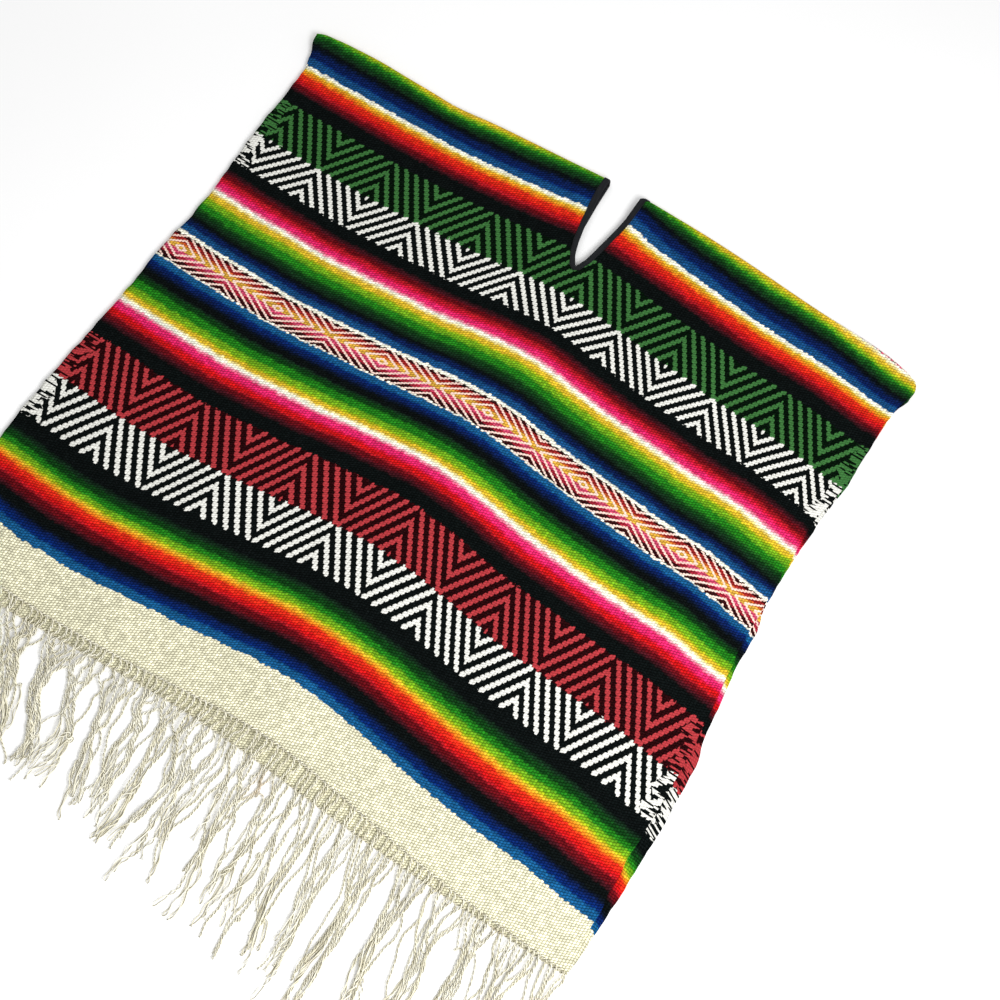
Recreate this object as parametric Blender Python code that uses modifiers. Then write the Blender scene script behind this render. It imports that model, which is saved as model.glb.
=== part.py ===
"""Serape poncho laid flat, folded once at the shoulder line.

One handwoven length is folded across its middle. The front half lies on the back half, a
taped slit crosses the fold for the head, both sides are open selvedges, and the warp ends
hang from both hems as fringe. The front half is two solids, left and right of the slit, so
that each is a simple shape; the cloth itself has no seam there.

Metres, +Z up. +X runs across the cloth, +Y from the hems towards the shoulder fold. The
origin is on the floor, under the middle of the whole part.

Plan positions are worked out as (x, reach): reach is the distance from the fold's middle
towards the hems, so Y = -reach until the last step centres the part. "along" counts the
same way, but inside the cloth, from the fold to one of its crosswise lines.
"""

import math
import random
from collections import namedtuple

import bmesh
import bpy
from mathutils import Vector

# ---------------------------------------------------------------- driving sizes

CLOTH = 0.0025            # thickness of the weft-faced cloth
SEAM = 0.0003             # clearance between two pieces
LAYER_GAP = 0.0004        # clearance between the two layers where they lie on each other

FRONT_LENGTH = 1.018      # fold to front hem
BACK_LENGTH = 1.031       # fold to back hem, which peeks out below the front one

ROLL_HEIGHT = 0.012       # the soft shoulder fold stands this high
ROLL_EASE = 0.060         # and flattens into two plain layers over this distance
ROLL_TUCK = 0.004         # the front runs this far under the roll, to meet the back panel
FOLD_INSET = 0.004        # the roll draws the fold this far towards the hems

TAPE_WIDTH = 0.008        # the neck tape covers this much cloth on each face
TAPE = 0.001              # thickness of the neck tape
NECK_LEVEL = 0.006        # the layers stay raised this far past the tape
NECK_SPREAD = 0.060       # and sink from there over this distance

HEADER_WIDTH = 0.004      # the twined edge that the fringe hangs from
HEADER_CLEAR = 0.0006     # its clearance to the hem, whose bowed line has fewer corners
FRINGE_LIFT = 0.0004      # the lowest strands lie this far above the floor

COLUMNS = 13              # panel columns on each side of the neck slit
COLUMN_CROWDING = 1.3     # they stand closer together towards the middle
SHADE_ANGLE = math.radians(40)

# Crosswise lines of each layer: they bow towards the fold in the middle and lean a little,
# low on the right. The front is drawn up more than the back.
Bow = namedtuple("Bow", "along lean rise centre spread")
FRONT_BOWS = (
    Bow(0.000, 0.0116, 0.0345, 0.100, 0.345),
    Bow(0.075, 0.0250, 0.0311, 0.020, 0.235),
    Bow(0.334, 0.0128, 0.0310, 0.020, 0.235),
    Bow(0.559, 0.0179, 0.0351, 0.020, 0.235),
    Bow(0.850, 0.0229, 0.0394, 0.020, 0.235),
    Bow(0.940, 0.0297, 0.0415, 0.020, 0.235),
    Bow(1.018, 0.0378, 0.0349, 0.020, 0.235),
)
BACK_BOWS = FRONT_BOWS[:2] + (
    Bow(0.400, 0.0140, 0.0260, 0.000, 0.235),
    Bow(1.031, 0.0167, 0.0188, -0.080, 0.235),
)
CORNER_HOOK = 0.004       # both ends of the fold turn in by this much
CORNER_HOOK_FROM = 0.480  # beyond this distance from the middle

# X of the selvedges of the two layers: they wander, and the back shows on the right.
Edge = namedtuple("Edge", "along front_left front_right back_left back_right")
EDGES = (
    Edge(0.000, -0.534, 0.534, -0.531, 0.534),
    Edge(0.060, -0.522, 0.523, -0.519, 0.523),
    Edge(0.160, -0.521, 0.526, -0.517, 0.527),
    Edge(0.300, -0.517, 0.507, -0.513, 0.509),
    Edge(0.450, -0.523, 0.506, -0.519, 0.512),
    Edge(0.600, -0.533, 0.513, -0.529, 0.522),
    Edge(0.750, -0.542, 0.520, -0.537, 0.535),
    Edge(0.900, -0.538, 0.520, -0.533, 0.533),
    Edge(1.031, -0.536, 0.520, -0.531, 0.531),
)

# The open neck slit, tape face to tape face, in the front layer and in the back one.
Slit = namedtuple("Slit", "along left right")
FRONT_SLIT = (
    Slit(0.000, -0.0270, 0.0330),
    Slit(0.025, -0.0270, 0.0320),
    Slit(0.050, -0.0245, 0.0310),
    Slit(0.075, -0.0185, 0.0275),
    Slit(0.100, -0.0145, 0.0230),
    Slit(0.125, -0.0090, 0.0185),
    Slit(0.145, -0.0030, 0.0145),
    Slit(0.163, 0.0070, 0.0070),
)
BACK_SLIT = (
    Slit(0.000, -0.0190, 0.0320),
    Slit(0.050, -0.0180, 0.0315),
    Slit(0.100, -0.0150, 0.0260),
    Slit(0.140, -0.0085, 0.0195),
    Slit(0.170, -0.0010, 0.0140),
    Slit(0.190, 0.0070, 0.0070),
)
SLIT_FLARE = 0.006        # both slit edges spread this much further where they turn over the fold

# Soft ridges of the front layer. Each runs from the fold towards the hem.
Ridge = namedtuple("Ridge", "x_fold x_hem start end height half_width")
RIDGES = (
    Ridge(0.030, 0.000, 0.200, 1.100, 0.0090, 0.085),
    Ridge(-0.200, -0.265, 0.080, 1.100, 0.0050, 0.060),
    Ridge(0.230, 0.285, 0.040, 0.900, 0.0060, 0.060),
    Ridge(-0.400, -0.430, 0.300, 1.100, 0.0045, 0.050),
    Ridge(0.395, 0.425, 0.380, 1.100, 0.0045, 0.045),
    Ridge(-0.105, -0.140, 0.420, 0.880, 0.0035, 0.045),
)
RIDGE_FADE = 0.140        # length over which a ridge rises at its start and sinks at its end

# Rows of panel points, by their distance along the cloth.
ROLL_STEPS = 6
FRONT_ROWS = (0.014, 0.025, 0.038, 0.050, 0.062, 0.075, 0.100, 0.125, 0.145, 0.163, 0.175,
              0.200, 0.250, 0.310, 0.380, 0.450, 0.530, 0.610, 0.690, 0.770, 0.850, 0.930)
BACK_ROWS = (0.025, 0.050, 0.075, 0.100, 0.120, 0.140, 0.155, 0.170, 0.190, 0.202,
             0.230, 0.260, 0.300, 0.450, 0.600, 0.750, 0.900)

# Fringe locks, side by side along a hem: where their roots start and end, where their tips
# gather, and how far they hang.
Lock = namedtuple("Lock", "start end tip length")
LOCKS = (
    Lock(-0.536, -0.490, -0.480, 0.200),
    Lock(-0.490, -0.440, -0.425, 0.205),
    Lock(-0.440, -0.400, -0.372, 0.200),
    Lock(-0.400, -0.330, -0.300, 0.195),
    Lock(-0.330, -0.270, -0.258, 0.200),
    Lock(-0.270, -0.225, -0.222, 0.192),
    Lock(-0.225, -0.180, -0.165, 0.212),
    Lock(-0.180, -0.130, -0.138, 0.200),
    Lock(-0.130, -0.090, -0.105, 0.230),
    Lock(-0.090, -0.045, -0.066, 0.230),
    Lock(-0.045, -0.010, -0.030, 0.210),
    Lock(-0.010, 0.040, 0.022, 0.232),
    Lock(0.040, 0.078, 0.070, 0.240),
    Lock(0.078, 0.110, 0.102, 0.248),
    Lock(0.110, 0.145, 0.138, 0.230),
    Lock(0.145, 0.190, 0.176, 0.235),
    Lock(0.190, 0.250, 0.228, 0.238),
    Lock(0.250, 0.310, 0.290, 0.215),
    Lock(0.310, 0.360, 0.345, 0.198),
    Lock(0.360, 0.420, 0.400, 0.202),
    Lock(0.420, 0.475, 0.455, 0.205),
    Lock(0.475, 0.531, 0.500, 0.190),
)
LOCK_GATHER = 0.60        # how far the strands of a lock close up at their tips
STRAND_STEPS = 4
STRAND_UNEVEN = 0.018     # most that one strand is shorter than its lock
STRAND_WAVE = 0.0030      # sideways wave down a strand, nearly in step with its neighbours
STRAND_WAVE_TURNS = 0.9   # waves down one strand
WAVE_TRAVEL = 0.210       # distance along the hem over which the wave's start goes round once
STRAND_SETTLE = 0.62      # share of its length in which a strand sinks to its level

# Strand thickness at root and tip, height of the strands' middle over the floor, how far the
# locks are shifted along the hem, and where the sideways wave starts.
Fringe = namedtuple("Fringe", "strands root tip level shift phase")
FRONT_FRINGE = Fringe(92, root=0.0024, tip=0.0013, level=0.0049, shift=0.000, phase=0.0)
BACK_FRINGE = Fringe(80, root=0.0024, tip=0.0013, level=0.0018, shift=0.024, phase=2.2)

Finish = namedtuple("Finish", "colour roughness")
CLOTH_FINISH = Finish((0.42, 0.045, 0.040, 1.0), 0.95)
BACK_FINISH = Finish((0.045, 0.160, 0.060, 1.0), 0.95)
TAPE_FINISH = Finish((0.012, 0.013, 0.015, 1.0), 0.85)
FRINGE_FINISH = Finish((0.780, 0.740, 0.600, 1.0), 0.90)

# ---------------------------------------------------------------- worked out from the above

ROLL_OUTER = ROLL_HEIGHT / 2
ROLL_MIDDLE = ROLL_OUTER - CLOTH / 2          # radius of the cloth's middle in the roll
BACK_LEVEL = CLOTH / 2                        # height of the back layer's middle
FRONT_LEVEL = BACK_LEVEL + CLOTH + LAYER_GAP
TAPE_OUT = CLOTH / 2 + SEAM + TAPE            # the tape's outer face, from the cloth's middle
TAPE_IN = CLOTH / 2 + SEAM
TAPE_EDGE = SEAM + TAPE                       # the cloth's cut edge, from the tape's face
NECK_BACK_LIFT = TAPE_OUT - CLOTH / 2 + SEAM
NECK_FRONT_LIFT = 2 * TAPE_OUT + SEAM - CLOTH
NECK_FLAT = TAPE_WIDTH + NECK_LEVEL           # the swell is level this far from the slit
FRONT_TIP = FRONT_SLIT[-1]
BACK_TIP = BACK_SLIT[-1]


def mix(low, high, share):
    """Value between low and high."""
    return low + (high - low) * share


def ease(share):
    """Smooth step from 0 to 1."""
    share = min(max(share, 0.0), 1.0)
    return share * share * (3.0 - 2.0 * share)


def bell(distance, spread):
    """Rounded hump, 1 at its middle."""
    return math.exp(-(distance / spread) ** 2)


def bracket(table, along):
    """The two rows of a table on either side of a distance along the cloth, and the share."""
    along = min(max(along, table[0].along), table[-1].along)
    for above, below in zip(table, table[1:]):
        if along <= below.along:
            return above, below, (along - above.along) / (below.along - above.along)
    return table[-1], table[-1], 0.0


def read(table, column, along):
    """Value of a table's column at a distance along the cloth."""
    above, below, share = bracket(table, along)
    return mix(getattr(above, column), getattr(below, column), share)


# ---------------------------------------------------------------- form of the cloth


def bow(row, x):
    """How far a crosswise line with this bow lies towards the hem at x."""
    return row.lean * x - row.rise * bell(x - row.centre, row.spread)


def reach(bows, x, along):
    """Plan distance from the fold's middle to a crosswise line of the cloth at x."""
    above, below, share = bracket(bows, along)
    bowed = mix(bow(above, x), bow(below, x), ease(share))
    corner = ease((abs(x) - CORNER_HOOK_FROM) / (EDGES[0].front_right - CORNER_HOOK_FROM))
    at_fold = 1.0 - ease(along / ROLL_EASE)
    return along + bowed + (FOLD_INSET + CORNER_HOOK * corner) * at_fold


def neck_share(slit, x, along):
    """1 beside the neck slit, fading to 0 around it."""
    left = read(slit, "left", along)
    right = read(slit, "right", along)
    across = max(left - x, x - right, 0.0)
    below = max(along - slit[-1].along, 0.0)
    clear = math.hypot(across, below) - NECK_FLAT
    return 1.0 - ease(clear / NECK_SPREAD)


def ridge_height(x, along):
    """Height of the soft ridges over the stacked layers."""
    total = 0.0
    for ridge in RIDGES:
        crest = mix(ridge.x_fold, ridge.x_hem, along / FRONT_LENGTH)
        fade_in = ease((along - ridge.start) / RIDGE_FADE)
        fade_out = ease((ridge.end - along) / RIDGE_FADE)
        total += ridge.height * fade_in * fade_out * bell(x - crest, ridge.half_width)
    return total


def front_height(x, along):
    """Middle of the front layer above the floor."""
    flat = FRONT_LEVEL + ridge_height(x, along)
    flat += NECK_BACK_LIFT * neck_share(BACK_SLIT, x, along)
    flat += NECK_FRONT_LIFT * neck_share(FRONT_SLIT, x, along)
    top = ROLL_HEIGHT - CLOTH / 2 + NECK_BACK_LIFT * neck_share(BACK_SLIT, x, 0.0)
    return mix(max(top, flat), flat, ease((along - ROLL_OUTER) / ROLL_EASE))


def back_height(x, along):
    """Middle of the back layer above the floor."""
    return BACK_LEVEL + NECK_BACK_LIFT * neck_share(BACK_SLIT, x, along)


def front_point(x, along):
    """Point on the middle of the front layer."""
    return Vector((x, -reach(FRONT_BOWS, x, along), front_height(x, along)))


def back_point(x, along):
    """Point on the middle of the back layer."""
    return Vector((x, -reach(BACK_BOWS, x, along), back_height(x, along)))


def roll_point(x, turn):
    """Point on the middle of the roll, from its top (turn 0) round to the floor (turn 1)."""
    top = front_height(x, ROLL_OUTER)
    bottom = back_height(x, 0.0)
    angle = math.pi * (0.5 - turn)
    ahead = ROLL_OUTER - ROLL_MIDDLE * math.cos(angle)
    height = mix(bottom, top, (1.0 + math.sin(angle)) / 2)
    return Vector((x, -reach(FRONT_BOWS, x, ahead), height))


# A row is one crosswise line of panel points: its place along the cloth, which sets its
# edges, how far the slit flares in it, and the function that puts a point of it in space.
Row = namedtuple("Row", "along flare place")


def front_rows():
    """Rows of the front, from under the roll, over it and down to the hem."""
    rows = [Row(0.0, 0.0, lambda x: back_point(x, ROLL_OUTER + ROLL_TUCK))]
    for step in range(ROLL_STEPS, -1, -1):
        turn = step / ROLL_STEPS
        flare = SLIT_FLARE * math.sin(math.pi * turn)
        rows.append(Row(0.0, flare, lambda x, turn=turn: roll_point(x, turn)))
    for along in FRONT_ROWS + (FRONT_LENGTH,):
        rows.append(Row(along, 0.0, lambda x, along=along: front_point(x, along)))
    return rows


def back_rows():
    """Rows of the back panel, from under the roll to the hem."""
    start = ROLL_OUTER + ROLL_TUCK + SEAM
    rows = [Row(0.0, 0.0, lambda x: back_point(x, start))]
    for along in BACK_ROWS + (BACK_LENGTH,):
        rows.append(Row(along, 0.0, lambda x, along=along: back_point(x, along)))
    return rows


def slit_edges(slit, row):
    """X of the tape's two outer faces in a row of the cloth."""
    return read(slit, "left", row.along) - row.flare, read(slit, "right", row.along) + row.flare


# ---------------------------------------------------------------- scene helpers


def clear_scene():
    """Remove whatever the scene holds."""
    for obj in list(bpy.data.objects):
        bpy.data.objects.remove(obj, do_unlink=True)


def make_material(name, finish):
    """Principled material with a colour and a roughness."""
    material = bpy.data.materials.new(name)
    material.use_nodes = True
    shader = material.node_tree.nodes["Principled BSDF"]
    shader.inputs["Base Color"].default_value = finish.colour
    shader.inputs["Roughness"].default_value = finish.roughness
    shader.inputs["Metallic"].default_value = 0.0
    return material


def make_object(name, mesh, finish, collection):
    """New object in the part's collection."""
    bmesh.ops.recalc_face_normals(mesh, faces=mesh.faces)
    data = bpy.data.meshes.new(name)
    mesh.to_mesh(data)
    mesh.free()
    data.shade_smooth()
    data.set_sharp_from_angle(angle=SHADE_ANGLE)
    data.materials.append(make_material(name, finish))
    obj = bpy.data.objects.new(name, data)
    collection.objects.link(obj)
    return obj


# ---------------------------------------------------------------- panels


def column_places(outer, inner):
    """X of a half row's points, from its selvedge to the slit, one under the tape's edge."""
    covered = inner + math.copysign(TAPE_WIDTH, outer - inner)
    places = []
    for step in range(COLUMNS):
        left_over = (1.0 - step / (COLUMNS - 1)) ** COLUMN_CROWDING
        places.append(mix(covered, outer, left_over))
    return places + [inner]


def make_panel(name, rows, slit, halves, finish, collection):
    """Cloth on one or both sides of the slit, as sheets of quads, then thickened.

    halves lists (side, column of EDGES), with side -1 on the left and 1 on the right. Two
    halves are one sheet below the slit's tip; a single half stops at a seam there.
    """
    mesh = bmesh.new()
    tip = slit[-1]
    whole = len(halves) > 1
    previous = ()
    for row in rows:
        open_here = row.along < tip.along
        lines = []
        for side, edge in halves:
            if open_here:
                inner = slit_edges(slit, row)[max(side, 0)] + side * TAPE_EDGE
            else:
                inner = tip.left if whole else tip.left + side * SEAM / 2
            outer = read(EDGES, edge, row.along)
            places = [row.place(x) for x in column_places(outer, inner)]
            line = [mesh.verts.new(place) for place in places[:-1]]
            joined = lines and not open_here
            line.append(lines[0][-1] if joined else mesh.verts.new(places[-1]))
            lines.append(line)
        for line, above in zip(lines, previous):
            for quad in zip(line, line[1:], above[1:], above):
                mesh.faces.new(quad)
        previous = lines
    panel = make_object(name, mesh, finish, collection)
    wall = panel.modifiers.new("Wall", "SOLIDIFY")
    wall.thickness = CLOTH
    wall.offset = 0.0
    wall.use_even_offset = True
    return panel


# ---------------------------------------------------------------- neck tape


def make_tape(collection):
    """Tape folded over the slit's cut edge: down one side, round both tips, up the other."""
    mesh = bmesh.new()
    front = [row for row in front_rows() if row.along < FRONT_TIP.along]
    back = [row for row in back_rows() if row.along < BACK_TIP.along]
    run = [(row, FRONT_SLIT) for row in reversed(front)] + [(row, BACK_SLIT) for row in back]

    def side(index, sign):
        """Edge point and inward point of each station on one side, front tip to back tip."""
        stations = []
        for row, slit in run:
            x = slit_edges(slit, row)[index] - sign * TAPE_EDGE
            stations.append((row.place(x), row.place(x - sign * TAPE_WIDTH)))
        return stations

    def tip(place, slit_tip):
        """Edge point and inward point at the slit's tip."""
        return place(slit_tip.left, slit_tip.along), place(slit_tip.left, slit_tip.along + TAPE_WIDTH)

    left = side(0, 1)
    right = side(1, -1)
    loop = [tip(front_point, FRONT_TIP)] + left + [tip(back_point, BACK_TIP)] + right[::-1]
    rings = []
    for index, (edge, inner) in enumerate(loop):
        ahead = loop[(index + 1) % len(loop)][0] - loop[index - 1][0]
        inward = (inner - edge).normalized()
        out = ahead.cross(inward).normalized()
        rim = edge - inward * TAPE_EDGE
        seat = edge - inward * SEAM
        corners = [inner + out * TAPE_OUT, rim + out * TAPE_OUT, rim - out * TAPE_OUT,
                   inner - out * TAPE_OUT, inner - out * TAPE_IN, seat - out * TAPE_IN,
                   seat + out * TAPE_IN, inner + out * TAPE_IN]
        rings.append([mesh.verts.new(corner) for corner in corners])
    for ring, following in zip(rings, rings[1:] + rings[:1]):
        for corner in range(len(ring)):
            beside = (corner + 1) % len(ring)
            mesh.faces.new((ring[corner], ring[beside], following[beside], following[corner]))
    return make_object("neck_tape", mesh, TAPE_FINISH, collection)


# ---------------------------------------------------------------- fringe


def lock_at(x):
    """The lock whose roots hold x."""
    for lock in LOCKS:
        if x <= lock.end:
            return lock
    return LOCKS[-1]


def strand_path(root, fringe, chance):
    """Middle and thickness of each section of a strand, from the one below its root down."""
    lock = lock_at(root.x - fringe.shift)
    middle = (lock.start + lock.end) / 2 + fringe.shift
    tip = lock.tip + fringe.shift + (root.x - middle) * (1.0 - LOCK_GATHER)
    length = lock.length - chance.uniform(0.0, STRAND_UNEVEN)
    phase = math.tau * root.x / WAVE_TRAVEL + fringe.phase
    path = []
    for step in range(1, STRAND_STEPS + 1):
        share = step / STRAND_STEPS
        hang = share * length / lock.length
        wave = STRAND_WAVE * math.sin(math.tau * hang * STRAND_WAVE_TURNS + phase) * hang
        x = mix(root.x, tip, ease(hang)) + wave
        z = mix(root.z, fringe.level, ease(share / STRAND_SETTLE))
        path.append((Vector((x, root.y - length * share, z)), mix(fringe.root, fringe.tip, share)))
    return path


def make_fringe(name, hem, sides, fringe, collection):
    """A narrow header strip clear of the hem, with a strand drawn out of it at even places."""
    chance = random.Random(name)
    first, last = sides
    pitch = (last - first) / fringe.strands
    half = fringe.root / 2
    places = []
    for index in range(fringe.strands):
        middle = first + (index + 0.5) * pitch
        places += [middle - half, middle + half]
    mesh = bmesh.new()
    rings = []
    for x in places:
        edge = hem(x)
        near = edge.y - HEADER_CLEAR
        far = near - HEADER_WIDTH
        low = max(edge.z - half, FRINGE_LIFT)
        corners = ((near, low), (far, low), (far, low + fringe.root), (near, low + fringe.root))
        rings.append([mesh.verts.new((x, y, z)) for y, z in corners])
    mesh.faces.new(rings[0])
    mesh.faces.new(rings[-1][::-1])
    roots = []
    for index, (ring, following) in enumerate(zip(rings, rings[1:])):
        for corner in range(4):
            beside = (corner + 1) % 4
            face = mesh.faces.new((ring[corner], ring[beside], following[beside], following[corner]))
            if corner == 1 and index % 2 == 0:
                roots.append(face)
    for face in roots:
        middle = face.calc_center_median()
        corners = [corner.co - middle for corner in face.verts]
        for place, thickness in strand_path(middle, fringe, chance):
            face = bmesh.ops.extrude_discrete_faces(mesh, faces=[face])["faces"][0]
            for corner, vertex in zip(corners, face.verts):
                across = math.copysign(thickness / 2, corner.x)
                up = math.copysign(thickness / 2, corner.z)
                vertex.co = place + Vector((across, 0.0, up))
    return make_object(name, mesh, FRINGE_FINISH, collection)


# ---------------------------------------------------------------- the part


def centre_on_floor(objects):
    """Move the meshes so that the origin is under the middle of the whole part."""
    graph = bpy.context.evaluated_depsgraph_get()
    corners = []
    for obj in objects:
        corners += [Vector(corner) for corner in obj.evaluated_get(graph).bound_box]
    low = [min(corner[axis] for corner in corners) for axis in range(3)]
    high = [max(corner[axis] for corner in corners) for axis in range(3)]
    shift = Vector(((low[0] + high[0]) / -2, (low[1] + high[1]) / -2, -low[2]))
    for obj in objects:
        for vertex in obj.data.vertices:
            vertex.co += shift


def main():
    """Build the poncho."""
    clear_scene()
    collection = bpy.data.collections.new("serape_poncho")
    bpy.context.scene.collection.children.link(collection)
    front_hem = EDGES[-1].front_left, EDGES[-1].front_right
    back_hem = EDGES[-1].back_left, EDGES[-1].back_right
    objects = [
        make_panel("front_left", front_rows(), FRONT_SLIT, [(-1, "front_left")],
                   CLOTH_FINISH, collection),
        make_panel("front_right", front_rows(), FRONT_SLIT, [(1, "front_right")],
                   CLOTH_FINISH, collection),
        make_panel("back_panel", back_rows(), BACK_SLIT,
                   [(-1, "back_left"), (1, "back_right")], BACK_FINISH, collection),
        make_tape(collection),
        make_fringe("front_fringe", lambda x: front_point(x, FRONT_LENGTH), front_hem,
                    FRONT_FRINGE, collection),
        make_fringe("back_fringe", lambda x: back_point(x, BACK_LENGTH), back_hem,
                    BACK_FRINGE, collection),
    ]
    centre_on_floor(objects)


main()
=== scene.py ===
"""Looks of a serape poncho laid flat and folded at the shoulder.

Metres, +Z up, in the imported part's frame: X across the cloth, Y from the hems towards the
shoulder fold. Plan places are worked out as (x, reach) first, as the part's solids are:
reach grows from the fold's middle towards the hems. "along" is the same distance inside the
cloth, and "c" is the distance along the cloth from its middle, negative on the back half.
"""

import math
import random
from collections import namedtuple

import bpy
import numpy as np
from mathutils import Matrix, Vector


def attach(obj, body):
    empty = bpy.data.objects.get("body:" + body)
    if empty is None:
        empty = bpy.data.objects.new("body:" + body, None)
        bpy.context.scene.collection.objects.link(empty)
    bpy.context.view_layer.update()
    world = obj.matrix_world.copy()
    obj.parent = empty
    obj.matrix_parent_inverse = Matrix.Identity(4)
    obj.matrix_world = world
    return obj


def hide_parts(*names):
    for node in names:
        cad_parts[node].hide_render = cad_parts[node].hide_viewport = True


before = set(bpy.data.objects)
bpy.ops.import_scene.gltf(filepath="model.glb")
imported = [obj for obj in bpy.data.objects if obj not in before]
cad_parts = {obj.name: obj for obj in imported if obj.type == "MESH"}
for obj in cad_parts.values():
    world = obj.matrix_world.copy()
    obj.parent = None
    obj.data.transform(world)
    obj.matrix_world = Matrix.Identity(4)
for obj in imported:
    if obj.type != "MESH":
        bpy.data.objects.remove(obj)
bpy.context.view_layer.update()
scene = bpy.context.scene


def table(fields, *values, defaults=()):
    """Rows of values whose columns have these names."""
    kind = namedtuple("Entry", fields, defaults=defaults)
    return tuple(kind(*row) for row in values)


# -------- form of the solids

PART_X, PART_Y = 0.00376, 0.62102  # how far centring moved the part
CLOTH = 0.0025
LAYER_GAP = 0.0004
FRONT_LENGTH = 1.018
BACK_LENGTH = 1.031
ROLL_HEIGHT = 0.012
ROLL_EASE = 0.060
FOLD_INSET = 0.004
SEAM = 0.0003
TAPE = 0.001
TAPE_WIDTH = 0.008
NECK_LEVEL = 0.006
NECK_SPREAD = 0.060

# Crosswise lines of each layer: their lean, and the rise of their middle towards the fold.
BOW, BOW_MIDDLE = "along lean rise centre spread", (0.020, 0.235)
FRONT_BOWS = table(
    BOW,
    (0.0, 0.0116, 0.0345, 0.1, 0.345),
    (0.075, 0.025, 0.0311),
    (0.334, 0.0128, 0.031),
    (0.559, 0.0179, 0.0351),
    (0.85, 0.0229, 0.0394),
    (0.94, 0.0297, 0.0415),
    (1.018, 0.0378, 0.0349),
    defaults=BOW_MIDDLE,
)
BACK_BOWS = FRONT_BOWS[:2] + table(
    BOW,
    (0.4, 0.014, 0.026, 0.0, 0.235),
    (1.031, 0.0167, 0.0188, -0.08, 0.235),
)
CORNER_HOOK = 0.004
CORNER_HOOK_FROM = 0.480

# X of the selvedges of the two layers.
EDGES = table(
    "along front_left front_right back_left back_right",
    (0.0, -0.536, 0.537, -0.533, 0.538), (0.014, -0.5355, 0.541, -0.5325, 0.542),
    (0.032, -0.5335, 0.5395, -0.5305, 0.5405), (0.055, -0.526, 0.531, -0.523, 0.532),
    (0.085, -0.519, 0.5265, -0.516, 0.5275), (0.14, -0.518, 0.525, -0.515, 0.526),
    (0.2, -0.5205, 0.523, -0.5175, 0.5245), (0.24, -0.52, 0.5175, -0.517, 0.52),
    (0.285, -0.518, 0.508, -0.515, 0.5155), (0.33, -0.516, 0.5065, -0.513, 0.512),
    (0.4, -0.519, 0.507, -0.516, 0.508), (0.44, -0.524, 0.507, -0.52, 0.509),
    (0.48, -0.526, 0.506, -0.522, 0.517), (0.53, -0.5265, 0.508, -0.5225, 0.5145),
    (0.6, -0.53, 0.514, -0.526, 0.5215), (0.65, -0.5335, 0.5175, -0.529, 0.526),
    (0.69, -0.537, 0.5195, -0.532, 0.5345), (0.78, -0.541, 0.519, -0.536, 0.537),
    (0.86, -0.54, 0.517, -0.535, 0.5345), (0.94, -0.538, 0.5195, -0.533, 0.5315),
    (1.031, -0.536, 0.523, -0.531, 0.5235),
)

# The fold's line wavers: around which x, how far towards the hems, and how widely.
FOLD_WAVERS = table(
    "x shift spread",
    (-0.43, -0.003, 0.05), (-0.285, 0.004, 0.045), (0.45, -0.005, 0.075),
    (0.552, 0.008, 0.022), (-0.54, 0.006, 0.01),
)

# The open neck slit, tape face to tape face, in each layer.
SLIT = "along left right"
FRONT_SLIT = table(
    SLIT,
    (0.0, -0.0218, 0.033), (0.025, -0.0224, 0.032), (0.05, -0.021, 0.031),
    (0.075, -0.0175, 0.0275), (0.1, -0.014, 0.023), (0.125, -0.009, 0.0185),
    (0.145, -0.003, 0.0145), (0.163, 0.007, 0.007),
)
BACK_SLIT = table(
    SLIT,
    (0.0, -0.019, 0.032), (0.05, -0.018, 0.0315), (0.1, -0.015, 0.026),
    (0.14, -0.0085, 0.0195), (0.17, -0.001, 0.014), (0.19, 0.007, 0.007),
)
SLIT_FLARE = 0.006  # round the roll the slit's right side flares by this much,
LEFT_FLARE = 0.15  # and its left side by this share of it

# Soft ridges of the front layer, running from the fold towards the hem.
RIDGES = table(
    "x_fold x_hem start end height half_width",
    (0.03, 0.0, 0.2, 1.1, 0.009, 0.085),
    (-0.2, -0.265, 0.08, 1.1, 0.005, 0.06),
    (0.23, 0.285, 0.04, 0.9, 0.006, 0.06),
    (-0.4, -0.43, 0.3, 1.1, 0.0045, 0.05),
    (0.395, 0.425, 0.38, 1.1, 0.0045, 0.045),
    (-0.105, -0.14, 0.42, 0.88, 0.0035, 0.045),
)
RIDGE_FADE = 0.140

# -------- fine form, here only

# Narrow creases pressed into the front layer: a trough with a soft rim on each side.
CREASES = table(
    "x_top x_low start end depth half_width",
    (-0.022, -0.024, 0.86, 1.1, 0.001, 0.006),
    (-0.048, -0.056, 0.9, 1.1, 0.0009, 0.005),
    (0.33, 0.352, 0.42, 0.86, 0.0008, 0.012),
    (-0.33, -0.345, 0.2, 0.62, 0.0007, 0.012),
    (0.15, 0.128, 0.62, 0.98, 0.0007, 0.01),
    (-0.455, -0.47, 0.55, 0.95, 0.0007, 0.01),
    (0.062, 0.055, 0.14, 0.4, 0.0006, 0.012),
)
CREASE_FADE = 0.09
RIM_SPREAD, TROUGH = 2.2, 1.6  # the rims' width and the trough's depth, as shares
RIPPLE = 0.0007  # low waves that the cloth keeps everywhere, upwards only
RIPPLE_LENGTHS = (0.05, 0.16)
EDGE_WANDER = 0.0011  # the selvedges wander by this much within a few centimetres
EDGE_LENGTHS = (0.012, 0.06)
WAVE_COUNT, WAVE_FILL = 7, 0.6  # waves added up, and the share of their sum taken as 1

COLUMNS = 98  # on each side of the slit, in the front
ROWS = 196  # from the roll to the front hem
ROLL_STEPS = 14
BACK_COLUMNS = 60
BACK_ROWS = 120

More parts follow.
